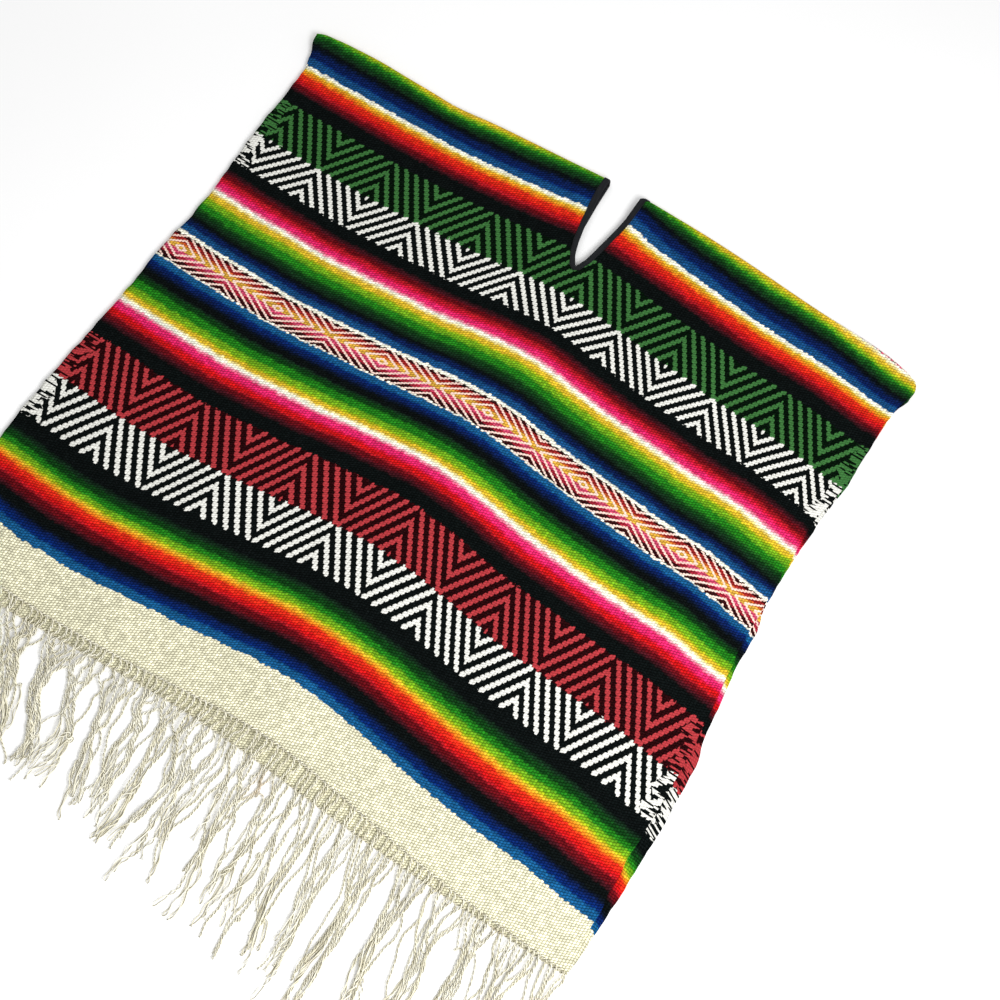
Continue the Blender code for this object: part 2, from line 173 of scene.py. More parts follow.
ROLL_OUTER = ROLL_HEIGHT / 2
ROLL_MIDDLE = ROLL_OUTER - CLOTH / 2
BACK_LEVEL = CLOTH / 2
FRONT_LEVEL = BACK_LEVEL + CLOTH + LAYER_GAP
TAPE_OUT = CLOTH / 2 + SEAM + TAPE
TAPE_EDGE = SEAM + TAPE
NECK_BACK_LIFT = TAPE_OUT - CLOTH / 2 + SEAM
NECK_FRONT_LIFT = 2 * TAPE_OUT + SEAM - CLOTH
NECK_FLAT = TAPE_WIDTH + NECK_LEVEL

# The tape's rim: how it thins, wanders, and is rounded over the cut edge.
RIM_THIN, RIM_BEVEL = 0.0003, 0.0008
RIM_WANDER, RIM_LENGTHS, RIM_FROM = 0.00025, (0.010, 0.035), 0.006
ROUND_IN, ROUND_OUT = 0.75, 0.72
STITCH_AT, STITCH_HALF_WIDTH = 0.0064, 0.00045
STITCH_LENGTH, STITCH_GAP, STITCH_DEPTH = 0.0042, -0.3, -0.8
TAPE_TWILL, TWILL_RELIEF, WORN_RELIEF = 0.0011, 0.2, 0.4

# -------- the weave

WARP = 0.00434  # warp ends are this far apart
PICK = 0.0040  # weft beads are this long in the direction of the warp
SLANT = 0.0010  # and slope by this much across one end
BEAD_WANDER = 0.0045  # how far the beads are out of line
HALF_REPEAT = 20  # warp ends from one point of the twill to the next
FLOAT_REPEAT = 4  # ends and rows from one twill line to the next
MIDDLE = 0.0175  # the cloth's middle lies this far behind along = 0 at the fold

# The warp drifts sideways down the cloth: x of one point of the twill.
DRIFTS = table(
    "along x",
    (0.0, -0.05), (0.211, -0.0565), (0.444, -0.066),
    (0.713, -0.071), (1.031, -0.076),
)

# Where a stripe lies in plan, as it was woven: each line leans, rises in its middle, droops
# or lifts at its two ends, and is tugged towards the fold at the right of the slit.
LINES = table(
    "along lean rise centre spread left right tug",
    (0.0362, 0.0005, 0.0329, 0.041, 0.191, 0.0001, 0.0183, 0.0098),
    (0.0601, 0.0027, 0.0304, 0.035, 0.202, 0.0015, 0.0116, 0.008),
    (0.1109, 0.0018, 0.0277, 0.027, 0.192, 0.0003, 0.0106, 0.001),
    (0.2922, 0.005, 0.0285, 0.025, 0.18, -0.002, 0.0145),
    (0.3822, 0.008, 0.0297, 0.018, 0.199, -0.0042, 0.0143),
    (0.4662, 0.0106, 0.0299, 0.011, 0.21, -0.003, 0.0143),
    (0.536, 0.0081, 0.0326, -0.002, 0.206, -0.0034, 0.0127),
    (0.5872, 0.0098, 0.0342, -0.006, 0.203, -0.0048, 0.0114),
    (0.8186, 0.0066, 0.0404, -0.002, 0.249, -0.01, 0.0123),
    (0.8703, 0.0193, 0.0396, 0.007, 0.244, -0.0075, 0.009),
    (0.9417, 0.0184, 0.0414, 0.002, 0.243, -0.011, 0.0099),
    defaults=(0.0,),
)
DROOP_LEFT_FROM, DROOP_LEFT = 0.40, 0.12
DROOP_RIGHT_FROM, DROOP_RIGHT = 0.38, 0.14
TUG_X, TUG_SPREAD = 0.030, 0.045

# Distance along the cloth that lies on top of the fold: the fold is a little askew.
FOLD_TOP = table(
    "x along",
    (-0.53, 0.013), (-0.45, 0.0085), (-0.38, 0.007), (-0.3, 0.002),
    (-0.24, 0.001), (-0.15, 0.005), (-0.05, 0.012), (0.04, 0.0145),
    (0.1, 0.0105), (0.15, 0.0045), (0.2, 0.0025), (0.3, 0.003),
    (0.35, 0.0035), (0.42, -0.0025), (0.48, -0.0078), (0.51, -0.007),
    (0.534, -0.002),
)
TAKE_UP = 0.013  # cloth taken up in the roll's underside
BACK_SHIFT = 0.0166  # the back's stripes lie this much further out, from this length on
BACK_SHIFT_LENGTH = 0.25

TINTS = {  # display values, 0 to 255
    "black": (10, 15, 15), "ink": (10, 18, 31), "navy": (12, 30, 80), "royal": (8, 38, 104),
    "blue": (25, 78, 130), "azure": (24, 88, 138), "white": (240, 240, 222),
    "pale": (240, 226, 160), "gold": (216, 180, 46), "amber": (228, 148, 34),
    "orange": (228, 112, 28), "olive": (166, 177, 24), "lime": (112, 167, 30),
    "green": (34, 122, 26), "leaf": (30, 90, 28), "dark_green": (15, 60, 20),
    "moss": (20, 46, 27), "red": (222, 44, 26), "scarlet": (202, 22, 24), "cherry": (210, 24, 58),
    "crimson": (174, 27, 36), "wine": (98, 14, 22), "maroon": (68, 20, 29),
    "pink": (230, 42, 108), "rose": (240, 160, 178), "cream": (234, 231, 201),
    "green_ground": (4, 19, 7), "red_ground": (38, 6, 9), "twill_green": (60, 113, 58),
    "twill_white": (231, 231, 224), "twill_red": (178, 58, 63), "twill_rose": (248, 216, 202),
    "brick": (152, 36, 36), "rust": (196, 92, 36), "ochre": (214, 164, 62),
    "magenta": (206, 74, 108), "ruby": (160, 34, 52), "umber": (52, 14, 16),
    # Of the tints below, the first two are painted shade in the weave's gaps and a painted
    # highlight on its fibres.
    "painted_groove_shade": (112, 104, 82), "painted_glint": (120, 124, 128), "tape_black": (12, 13, 15),
    "tape_worn": (34, 36, 40), "tape_stitch": (8, 9, 11), "yarn_pale": (255, 252, 236),
    # The last tint below is painted shade between a yarn's plies.
    "yarn_cream": (240, 235, 210), "yarn_dull": (196, 186, 150), "yarn_painted_shade": (124, 116, 88),
    "yarn_stain": (205, 165, 130), "floor": (250, 250, 250), "floor_light": (252, 252, 252),
}

# Weft stripes: each tint, and the distances along the cloth from the fold between which it
# holds. From one tint's last distance to the next one's first, the yarns change over.
Stripe = namedtuple("Stripe", "start tint")


def stripes(*bands):
    """Stripes of bands, each of them a tint and its distances."""
    return tuple(Stripe(start, tint) for tint, *starts in bands for start in starts)


STRIPES = stripes(
    ("black", -0.0175, -0.009), ("white", -0.0088, -0.0066), ("pale", -0.0048),
    ("gold", -0.0005, 0.003), ("olive", 0.006), ("lime", 0.009), ("green", 0.0128),
    ("leaf", 0.016), ("dark_green", 0.02), ("moss", 0.0245), ("black", 0.028), ("ink", 0.0325),
    ("navy", 0.038, 0.044), ("royal", 0.0465), ("blue", 0.051, 0.061), ("white", 0.0622, 0.0655),
    ("pale", 0.068), ("gold", 0.0708), ("amber", 0.0745), ("orange", 0.0782),
    ("red", 0.0818, 0.0875), ("scarlet", 0.092), ("crimson", 0.097), ("wine", 0.1018, 0.1045),
    ("maroon", 0.1085), ("black", 0.1135, 0.135), ("green_ground", 0.1352, 0.2095),
    ("black", 0.2097, 0.2885), ("maroon", 0.2955), ("wine", 0.2985, 0.303), ("crimson", 0.3085),
    ("cherry", 0.3138), ("pink", 0.3195, 0.324), ("rose", 0.3285), ("white", 0.3312, 0.3328),
    ("pale", 0.3358), ("gold", 0.3395, 0.345), ("olive", 0.348), ("lime", 0.3515, 0.3562),
    ("green", 0.362, 0.3695), ("leaf", 0.3722), ("dark_green", 0.3765), ("moss", 0.383),
    ("black", 0.39), ("ink", 0.394), ("navy", 0.3995, 0.4025), ("blue", 0.4075, 0.415),
    ("white", 0.4162, 0.4215), ("black", 0.4217, 0.4682), ("white", 0.4684, 0.4704),
    ("azure", 0.4716, 0.48), ("royal", 0.4838), ("navy", 0.49), ("ink", 0.4965),
    ("black", 0.5, 0.507), ("moss", 0.5105), ("dark_green", 0.5135, 0.518),
    ("green", 0.5218, 0.5305), ("lime", 0.535, 0.54), ("olive", 0.544), ("gold", 0.5465, 0.5505),
    ("pale", 0.5535), ("white", 0.5562, 0.5592), ("rose", 0.5618), ("pink", 0.5665, 0.5735),
    ("cherry", 0.5775), ("scarlet", 0.581, 0.585), ("crimson", 0.588), ("wine", 0.5915, 0.595),
    ("maroon", 0.6), ("black", 0.6065, 0.6278), ("red_ground", 0.628, 0.7135),
    ("black", 0.7137, 0.8115), ("moss", 0.818), ("dark_green", 0.8215, 0.8275),
    ("green", 0.832, 0.837), ("lime", 0.8412, 0.8455), ("olive", 0.8488), ("gold", 0.8515),
    ("amber", 0.855), ("orange", 0.8585), ("red", 0.862, 0.8675), ("scarlet", 0.871, 0.8745),
    ("crimson", 0.8778), ("wine", 0.882, 0.888), ("maroon", 0.8925), ("black", 0.898, 0.9085),
    ("ink", 0.913), ("navy", 0.918), ("royal", 0.925, 0.927), ("azure", 0.9312, 0.942),
    ("cream", 0.9428),
)
CREAM_FROM = 0.9426
RAMP_STOPS = 32

# Point-twill bands: the line they mirror about, the height of one row, how many rows the
# figure is set off from that line, the least half width of a float, and the figure's tint.
TWILLS = table(
    "start end line row offset slim tint",
    (-0.0175, -0.0088, -0.0175, 0.00245, 2.4, 0.52, "twill_rose"),
    (0.1352, 0.2096, 0.2096, 0.0069, 0.3, 0.7, "twill_green"),
    (0.2096, 0.2716, 0.2096, 0.0057, 0.5, 0.7, "twill_white"),
    (0.4217, 0.4682, 0.443, 0.00245, 2.4, 0.52, "twill_rose"),
    (0.628, 0.7136, 0.7136, 0.0078, 0.4, 0.7, "twill_red"),
    (0.7136, 0.7888, 0.7136, 0.0075, -0.6, 0.7, "twill_white"),
)
FLOAT_SWELL = 0.26  # how much wider a float is in the middle of its row
FLOAT_FUZZ = 0.5  # how much its fibres roughen its edge
FLOAT_SOFT = 0.08  # how soft that edge is
FLOAT_SLOPE = 0.45  # how far it leans along its diagonal within a row, in warp ends
MUDDLE_DEPTH = 0.040  # the floats lose their order this near a selvedge:
MUDDLE_SHARE = 0.60  # this share of the cloth shows them there,
MUDDLE_ENDS, MUDDLE_ROW = 3.0, 0.0028  # in runs of these many ends, and rows this high
MUDDLE_SCALE = 60.0
LIGHT_BASE = 0.70  # brightness of a bead before its yarn's unevenness and painted glints are added:
STREAK_LIGHT = 0.25  # that of its pick,
SPECK_LIGHT, SPECK_POWER = 0.55, 1.5  # of the bead itself, partly its own tone and partly painted glints
MOTTLE_LIGHT = 0.30  # and of its fibres
FIGURE_EVENNESS = 0.7  # a float evens out this share of it
GAP_SHADE = 0.85  # painted shade: how far the colour darkens between beads,
RIB_SHADE = 0.55  # between ends,
CREAM_RIB_SHADE = 0.30  # and more between ends in the plain cream
GAP_POWER, DARKEST = 1.7, 0.95  # how narrow that painted shade is, and the deepest of it
FLOAT_FILL, CREAM_FILL, PALE_FILL = 0.6, 0.2, 0.5  # how far floats and pale yarns fill gaps and lessen the painted shade
PAINTED_GLINT_FROM, PAINTED_GLINT_SHARE = 0.58, 0.30  # painted highlight: pale glints of the fibres over the dark yarns
STRIPE_WANDER = 0.0045  # the stripes' edges wander by this much slowly,
STRIPE_RIPPLE = 0.0040  # ripple by this much within a few ends,
STRIPE_MINGLE = 0.0022  # and mingle by this much from bead to bead
STEP_SHARE = 0.35  # how far they follow whole beads
ROW_WANDER = 0.0030  # the twill's rows wander by this much
RELIEF, FINE_RELIEF = 0.0011, 0.0003  # height of the weave's relief, and of tape and yarns
ROUNDNESS = 0.7  # how boldly a bead swells, as a power
RIB_RELIEF, FUZZ_RELIEF = 0.65, 0.35  # shares of the ribs and of the fibres in it

# Unevenness of the yarns: its fineness across and along the cloth, and its detail.
Grain = namedtuple("Grain", "x y detail")
BEND_GRAIN = Grain(0.35, 70.0, 1.0)
WANDER_GRAIN = Grain(0.06, 9.0, 3.0)
FUZZ_GRAIN = Grain(1.3, 700.0, 2.0)
STREAK_GRAIN = Grain(0.035, 3.7, 1.0)
MOTTLE_GRAIN = Grain(0.5, 120.0, 3.0)
WORN_GRAIN = Grain(90.0, 260.0, 4.0)  # the tape's
DYE_GRAIN = Grain(60.0, 50.0, 3.0)  # and the fringe yarn's
FIBRE_GRAIN = Grain(900.0, 90.0, 2.0)

# Fringe yarn: between which values a change of tint sets in, and how strong it gets; the second is
# painted shade between the plies.
DULL, FIBRE_STRENGTH = (0.5, 0.85), 0.6
PAINTED_PLY_SHADE, PAINTED_PLY_SHADE_SHARE = (0.40, 0.90), 0.85
STAIN, STAIN_SHARE, STAIN_SCALE = (0.66, 0.74), 0.35, 9.0

# Ground of the diamond bands, by where each tint starts, from the band's middle.
DIAMOND_GROUND = stripes(
    ("umber", -0.025), ("brick", -0.0172), ("rust", -0.0095), ("ochre", -0.006),
    ("magenta", 0.003), ("ruby", 0.0105), ("umber", 0.0168, 0.025),
)

# -------- fringe

# Locks of the front fringe: where their roots start and end, where the tips gather, how far
# they hang and how closely their yarns gather.
LOCKS = table(
    "start end tip length gather",
    (-0.536, -0.49, -0.48, 0.2, 0.76), (-0.49, -0.44, -0.425, 0.205, 0.86),
    (-0.44, -0.4, -0.372, 0.2, 0.76), (-0.4, -0.33, -0.3, 0.195, 0.86),
    (-0.33, -0.27, -0.258, 0.2, 0.91), (-0.27, -0.225, -0.222, 0.192, 0.76),
    (-0.225, -0.18, -0.165, 0.212, 0.91), (-0.18, -0.13, -0.138, 0.2, 0.86),
    (-0.13, -0.09, -0.105, 0.23, 0.93), (-0.09, -0.045, -0.066, 0.23, 0.81),
    (-0.045, -0.01, -0.03, 0.21, 0.76), (-0.01, 0.04, 0.022, 0.232, 0.91),
    (0.04, 0.078, 0.07, 0.24, 0.76), (0.078, 0.11, 0.102, 0.248, 0.86),
    (0.11, 0.145, 0.138, 0.23, 0.76), (0.145, 0.19, 0.176, 0.235, 0.86),
    (0.19, 0.25, 0.228, 0.238, 0.91), (0.25, 0.31, 0.29, 0.215, 0.81),
    (0.31, 0.36, 0.345, 0.198, 0.86), (0.36, 0.42, 0.4, 0.202, 0.76),
    (0.42, 0.475, 0.455, 0.205, 0.81), (0.475, 0.531, 0.5, 0.19, 0.76),
)
PLY = 0.00100  # radius of one of a yarn's two plies
PLY_SIDES = 5
TWIST = 0.0130  # yarn length in one turn of the plies
TWISTS = (0.85, 1.2)  # least and most of it
STEP = 0.0026  # yarn length between two sections
FLOOR_CLEAR = 0.0002
TAPER = 0.72  # thickness left at the tip
LUMP, LUMPS = 0.12, 40  # uneven spinning: its depth, and how often it comes
PLY_APART = 0.92  # the plies' distance from the yarn's middle, in their radii
FRAY, FRAY_FROM = 0.0016, 0.55  # a frayed yarn opens by this much, from this share on
HEADER_OUT, HEADER_INSET, HEADER_THICK = 0.0008, 0.002, 1.2  # the twined header's yarn

# How a slack yarn turns this way and that: length of a bend, and its turn in radians.
BENDS = table(
    "shortest longest turn",
    (0.11, 0.21, 0.36), (0.036, 0.075, 0.34), (0.014, 0.026, 0.16),
)
BEND_TURNS = (0.4, 1.25)  # least and most of that turn
STRAIGHT = 0.03  # a yarn leaves the hem straight for this length
WILD_LEFT, WILD_RIGHT = 1.55, 0.75  # the yarns are wilder at the left
WILD_FROM, WILD_OVER = -0.30, 0.45
LOOP_SHARE = 0.09  # yarns that curl once right round
LOOP_LENGTH, LOOP_PLACES = 0.034, (0.25, 0.75)
STRAY_SHARE = 0.12  # yarns that leave their lock
STRAY_REACH = 0.035
STRAY_LENGTHS, STRAY_GATHER = (0.75, 1.06), 0.4
LOCK_SWAY = 0.006
HOOK_LENGTH = 0.020  # a yarn leaves the hem in a small hook, deepest at the left
HOOK_LEFT, HOOK_RIGHT, HOOKS = 0.0062, 0.0022, (0.2, 1.1)
HOOK_FROM, HOOK_OVER = -0.25, 0.4  # x from which the hooks change, and over what distance
LENGTHS, TIP_SPREAD = (0.88, 1.12), 0.003  # shares of the lock's length; spread of its tips
GATHER_OVER, GATHER_STILL = 0.55, 0.6  # where a lock has gathered, and how far that stills it
SWAY_TURNS, SWAY_SHIFT = 1.3, 7.0  # bends of a whole lock, and their change between locks
PILE_WAVE, PILE_TURNS = 0.4, (0.8, 2.0)  # rise and fall of a yarn on the pile
DROP_OVER = 0.35  # share of its length over which a yarn comes down to the floor
STRIP, STRIP_PLIES = 0.006, 2.2  # the back hem's strip that the front yarns pass over
ROOT_SPREAD, ROOT_LIFT = 0.3, 0.6  # uneven spacing of the roots, and their rise in plies
FRAYED, FRAYS, THICKS = 0.6, (0.5, 1.0), (0.85, 1.12)

# Number of yarns, shift of the locks along the hem, height over the floor that a lock piles
# up to, and how far inside the hem the yarns start.
Fringe = namedtuple("Fringe", "yarns shift pile inside")
FRONT_FRINGE = Fringe(110, 0.000, 0.0070, 0.0020)
BACK_FRINGE = Fringe(88, 0.012, 0.0030, 0.0005)

# -------- small maths


def mix(low, high, share):
    """Value between low and high."""
    return low + (high - low) * share


def ease(share):
    """Smooth step from 0 to 1."""
    share = np.clip(share, 0.0, 1.0)
    return share * share * (3.0 - 2.0 * share)


def bell(distance, spread):
    """Rounded hump, 1 at its middle."""
    return np.exp(-(distance / spread) ** 2)


def read_at(rows, at, column, value):
    """Value of a table's column where its other column has this value."""
    return np.interp(value, [getattr(row, at) for row in rows],
                     [getattr(row, column) for row in rows])


def read(rows, column, along):
    """Value of a table's column at a distance along the cloth."""
    return read_at(rows, "along", column, along)


def fade(row, along, length):
    """1 between a row's start and its end, easing to 0 within this length at both."""
    return ease((along - row.start) / length) * ease((row.end - along) / length)


def waves(seed, x, y, shortest, longest):
    """Smooth uneven waves between -1 and 1."""
    chance = random.Random(seed)
    total = 0.0
    for _ in range(WAVE_COUNT):
        turn = chance.uniform(0.0, math.pi)
        length = chance.uniform(shortest, longest)
        along = x * math.cos(turn) + y * math.sin(turn)
        total = total + np.sin(math.tau * along / length + chance.uniform(0.0, math.tau))
    return total / (WAVE_COUNT * WAVE_FILL)


# -------- form of the cloth


def bow(row, x):
    """How far a crosswise line with this bow lies towards the hem at x."""
    return row.lean * x - row.rise * bell(x - row.centre, row.spread)


def reach(bows, x, along):
    """Plan distance from the fold's middle to a crosswise line of the cloth at x."""
    inside = min(max(along, bows[0].along), bows[-1].along)
    above, below = next(pair for pair in zip(bows, bows[1:]) if inside <= pair[1].along)
    share = ease((inside - above.along) / (below.along - above.along))
    corner = ease((np.abs(x) - CORNER_HOOK_FROM) / (EDGES[0].front_right - CORNER_HOOK_FROM))
    fold = FOLD_INSET + CORNER_HOOK * corner
    for waver in FOLD_WAVERS:
        fold = fold + waver.shift * bell(x - waver.x, waver.spread)
    line = along + mix(bow(above, x), bow(below, x), share)
    return line + fold * (1.0 - ease(along / ROLL_EASE))


def neck_share(slit, x, along):
    """1 beside the neck slit, fading to 0 around it."""
    left, right = slit_gap(slit, along)
    across = np.maximum(np.maximum(left - x, x - right), 0.0)
    below = max(along - slit[-1].along, 0.0)
    return 1.0 - ease((np.hypot(across, below) - NECK_FLAT) / NECK_SPREAD)


def ridge_height(x, along):
    """Height of the soft ridges over the stacked layers."""
    total = 0.0
    for ridge in RIDGES:
        crest = mix(ridge.x_fold, ridge.x_hem, along / FRONT_LENGTH)
        height = ridge.height * fade(ridge, along, RIDGE_FADE)
        total = total + height * bell(x - crest, ridge.half_width)
    return total


def fine_height(x, along):
    """Low ripples and pressed creases of the front layer, none beside the slit."""
    total = RIPPLE * (1.0 + waves("front", x, along, *RIPPLE_LENGTHS))
    for crease in CREASES:
        run = (along - crease.start) / (crease.end - crease.start)
        crest = mix(crease.x_top, crease.x_low, run)
        away = x - crest
        rim = bell(away, crease.half_width * RIM_SPREAD) - TROUGH * bell(away, crease.half_width)
        total = total + crease.depth * fade(crease, along, CREASE_FADE) * rim
    still = neck_share(FRONT_SLIT, x, along)
    return np.maximum(total, 0.0) * (1.0 - still) * ease((along - ROLL_OUTER) / ROLL_EASE)


def front_height(x, along):
    """Middle of the front layer above the floor."""
    flat = FRONT_LEVEL + ridge_height(x, along)
    flat = flat + NECK_BACK_LIFT * neck_share(BACK_SLIT, x, along)
    flat = flat + NECK_FRONT_LIFT * neck_share(FRONT_SLIT, x, along)
    top = ROLL_HEIGHT - CLOTH / 2 + NECK_BACK_LIFT * neck_share(BACK_SLIT, x, 0.0)
    return mix(np.maximum(top, flat), flat, ease((along - ROLL_OUTER) / ROLL_EASE))


def back_height(x, along):
    """Middle of the back layer above the floor."""
    return BACK_LEVEL + NECK_BACK_LIFT * neck_share(BACK_SLIT, x, along)


def front_place(x, along):
    """Points on the middle of the front layer, as rows of x, y, z."""
    height = front_height(x, along) + fine_height(x, along)
    return np.stack([x, -reach(FRONT_BOWS, x, along), height], -1)


def back_place(x, along):
    """Points on the middle of the back layer."""
    return np.stack([x, -reach(BACK_BOWS, x, along), back_height(x, along)], -1)


def roll_place(x, turn):
    """Points on the middle of the roll, from its top (turn 0) round to the floor (turn 1)."""
    angle = math.pi * (0.5 - turn)
    ahead = ROLL_OUTER - ROLL_MIDDLE * math.cos(angle)
    height = mix(back_height(x, 0.0), front_height(x, ROLL_OUTER), (1.0 + math.sin(angle)) / 2)
    return np.stack([x, -reach(FRONT_BOWS, x, ahead), height], -1)


def line_place(line, x):
    """Plan reach of a stripe line at x."""
    left = line.left * ease((-x - DROOP_LEFT_FROM) / DROOP_LEFT)
    right = line.right * ease((x - DROOP_RIGHT_FROM) / DROOP_RIGHT)
    tug = line.tug * bell(x - TUG_X, TUG_SPREAD) * (x > 0.0)
    return line.along + bow(line, x) + left + right - tug


def fold_along(x):
    """Distance along the cloth at the top of the roll."""
    return read_at(FOLD_TOP, "x", "along", x)


def weave_along(x, along):
    """Distance along the cloth, by its stripes, of the front's points."""
    plan = reach(FRONT_BOWS, x, along)
    place, value = reach(FRONT_BOWS, x, ROLL_OUTER), fold_along(x)
    found = value + (plan - place)
    for line in LINES:
        further = line_place(line, x)
        inside = mix(value, line.along, (plan - place) / (further - place))
        found = np.where(plan > place, inside, found)
        place, value = further, line.along
    return np.where(plan > place, value + (plan - place), found)


def roll_along(x, turn):
    """Distance along the cloth round the roll."""
    return fold_along(x) - math.pi * ROLL_MIDDLE * turn - TAKE_UP * ease(2.0 * turn - 1.0)


def back_along(x, along):
    """Distance along the cloth of the back's points."""
    laid = reach(BACK_BOWS, x, along) - reach(BACK_BOWS, x, ROLL_OUTER)
    return roll_along(x, 1.0) + BACK_SHIFT * ease(along / BACK_SHIFT_LENGTH) - laid


# A row of cloth points: its place along the cloth, the two edges of the slit in it, and two
# functions of x and "at": one puts its points in space and one gives their c.
Row = namedtuple("Row", "along gap place weave at")


def slit_gap(slit, along):
    """X of the tape's two outer faces."""
    return read(slit, "left", along), read(slit, "right", along)


def roll_gap(turn):
    """The same round the roll, where the slit flares."""
    flare = SLIT_FLARE * math.sin(math.pi * turn)
    front, back = slit_gap(FRONT_SLIT, 0.0), slit_gap(BACK_SLIT, ROLL_OUTER)
    left, right = (mix(*faces, ease(turn)) for faces in zip(front, back))
    return left - LEFT_FLARE * flare, right + flare


def front_rows():
    """Rows of the front cloth, round the roll from the floor and down to the hem."""
    turns = [step / ROLL_STEPS for step in range(ROLL_STEPS, 0, -1)]
    rolled = [Row(0.0, roll_gap(turn), roll_place, roll_along, turn) for turn in turns]
    return rolled + [Row(along, slit_gap(FRONT_SLIT, along), front_place, weave_along, along)
                     for along in np.linspace(ROLL_OUTER, FRONT_LENGTH, ROWS)]


def back_rows():
    """Rows of the back cloth, from under the roll to the hem."""
    return [Row(along, slit_gap(BACK_SLIT, along), back_place, back_along, along)
            for along in np.linspace(ROLL_OUTER, BACK_LENGTH, BACK_ROWS)]


def to_part(places):
    """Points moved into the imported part's frame."""
    return places + np.array([PART_X, PART_Y, 0.0])


# -------- mesh helpers


def new_object(name, data):
    """New object in the scene."""
    obj = bpy.data.objects.new(name, data)
    scene.collection.objects.link(obj)
    return obj


def mesh_object(name, places, faces, values, attribute):
    """Smooth mesh object in the part's frame, with one vector for each point."""
    data = bpy.data.meshes.new(name)
    data.from_pydata(to_part(np.asarray(places)).tolist(), [], faces)
    data.shade_smooth()
    made = data.attributes.new(attribute, "FLOAT_VECTOR", "POINT")
    made.data.foreach_set("vector", np.asarray(values, np.float32).ravel())
    data.update()
    return new_object(name, data)


def applied(obj):
    """Puts an object's modifiers into its mesh."""
    graph = bpy.context.evaluated_depsgraph_get()
    data = bpy.data.meshes.new_from_object(obj.evaluated_get(graph))
    obj.modifiers.clear()
    old = obj.data
    obj.data = data
    bpy.data.meshes.remove(old)
    return obj


# -------- cloth


def make_cloth(name, rows, slit, edges, columns, seed):
    """One layer of cloth: a fine sheet of quads, open above the slit's tip, then thickened."""
    tip = slit[-1]
    places, values, faces = [], [], []
    count = 0
    previous = None
    for row in rows:
        open_here = row.along < tip.along
        lines = []
        for side, edge in zip((-1, 1), edges):
            inner = row.gap[max(side, 0)] + side * TAPE_EDGE if open_here else tip.left
            wander = float(waves(seed + edge, row.along, 0.0, *EDGE_LENGTHS))
            outer = read(EDGES, edge, row.along) + side * EDGE_WANDER * wander
            share = np.linspace(0.0, 1.0, columns)
            x = mix(outer, inner, share)
            if lines and not open_here:
                x = x[:-1]
            c = row.weave(x, row.at) + MIDDLE
            ends = (x - read(DRIFTS, "x", row.along)) / WARP
            places.append(row.place(x, row.at))
            values.append(np.stack([ends, c, np.abs(x - outer)], -1))
            line = list(range(count, count + len(x)))
            count += len(x)
            if lines and not open_here:
                line.append(lines[0][-1])
            lines.append(line)
        for line, above in zip(lines, previous or ()):
            for quad in zip(line, line[1:], above[1:], above):
                faces.append(quad if line is lines[0] else quad[::-1])
        previous = lines
    cloth = mesh_object(name, np.concatenate(places), faces, np.concatenate(values), "weave")
    wall = cloth.modifiers.new("Wall", "SOLIDIFY")
    wall.thickness = CLOTH
    wall.offset = 0.0
    return applied(cloth)


# -------- neck tape


def unit(vectors):
    """Vectors brought to length 1."""
    return vectors / np.linalg.norm(vectors, axis=1, keepdims=True)


def eased_round(vectors):
    """Directions round a closed loop, each eased towards its neighbours'."""
    total = sum((3 - abs(step)) * np.roll(vectors, step, 0) for step in (-2, -1, 0, 1, 2))
    return unit(total)


def ring(one, other, count):
    """Quads between two rings of points, by the number of the first point of each."""
    return [(one + at, other + at, other + (at + 1) % count, one + (at + 1) % count)
            for at in range(count)]


def make_tape():
    """Soft tape folded over the slit's cut edge, with rounded corners and a wavy rim."""
    front = [row for row in front_rows() if row.along < FRONT_SLIT[-1].along]
    back = [row for row in back_rows() if row.along < BACK_SLIT[-1].along]
    run = front[::-1] + back

    def side(index, sign):
        stations = []
        for row in run:
            x = row.gap[index] - sign * TAPE_EDGE
            stations.append(row.place(np.array([x, x - sign * TAPE_WIDTH]), row.at))
        return stations

    def tip(place, slit):
        x = np.array([slit[-1].left])
        along = slit[-1].along
        return np.concatenate([place(x, along), place(x, along + TAPE_WIDTH)])

    loop = [tip(front_place, FRONT_SLIT), *side(0, 1),
            tip(back_place, BACK_SLIT), *side(1, -1)[::-1]]
    # Profile of the tape, as (inward, outward) from the cut edge: outer skin, then inner skin.
    outer = [(TAPE_WIDTH, TAPE_OUT - RIM_THIN), (TAPE_WIDTH - RIM_BEVEL, TAPE_OUT),
             (TAPE_WIDTH / 2, TAPE_OUT), (TAPE_WIDTH / 8, TAPE_OUT),
             (-TAPE_EDGE * ROUND_IN, TAPE_OUT * ROUND_OUT), (-TAPE_EDGE, 0.0)]
    inner = [(-SEAM, 0.0), (-SEAM, CLOTH / 2 + SEAM), (TAPE_WIDTH / 2, CLOTH / 2 + SEAM),
             (TAPE_WIDTH, CLOTH / 2 + SEAM)]
    profile = outer + [(a, -b) for a, b in outer[-2::-1]]
    profile += [(a, -b) for a, b in inner[::-1]] + inner[1:]
    sides = len(profile)
    places, values, faces = [], [], []
    travelled = 0.0
    edges = np.array([edge for edge, _ in loop])
    inwards = unit(np.array([inward_point for _, inward_point in loop]) - edges)
    outs = unit(np.cross(np.roll(edges, -1, 0) - np.roll(edges, 1, 0), inwards))
    inwards, outs = eased_round(inwards), eased_round(outs)
    for index, (edge, inward, out) in enumerate(zip(edges, inwards, outs)):
        travelled += np.linalg.norm(edge - loop[index - 1][0]) if index else 0.0
        rim = RIM_WANDER * float(waves("tape", travelled, 0.0, *RIM_LENGTHS))
        for order, (a, b) in enumerate(profile):
            places.append(edge + inward * (a + (rim if a > RIM_FROM else 0.0)) + out * b)
            values.append((travelled, a, order))
        if index:
            faces += ring(index * sides, (index - 1) * sides, sides)
    faces += ring(0, (len(loop) - 1) * sides, sides)
    return mesh_object("neck_binding", places, faces, values, "binding")


# -------- fringe


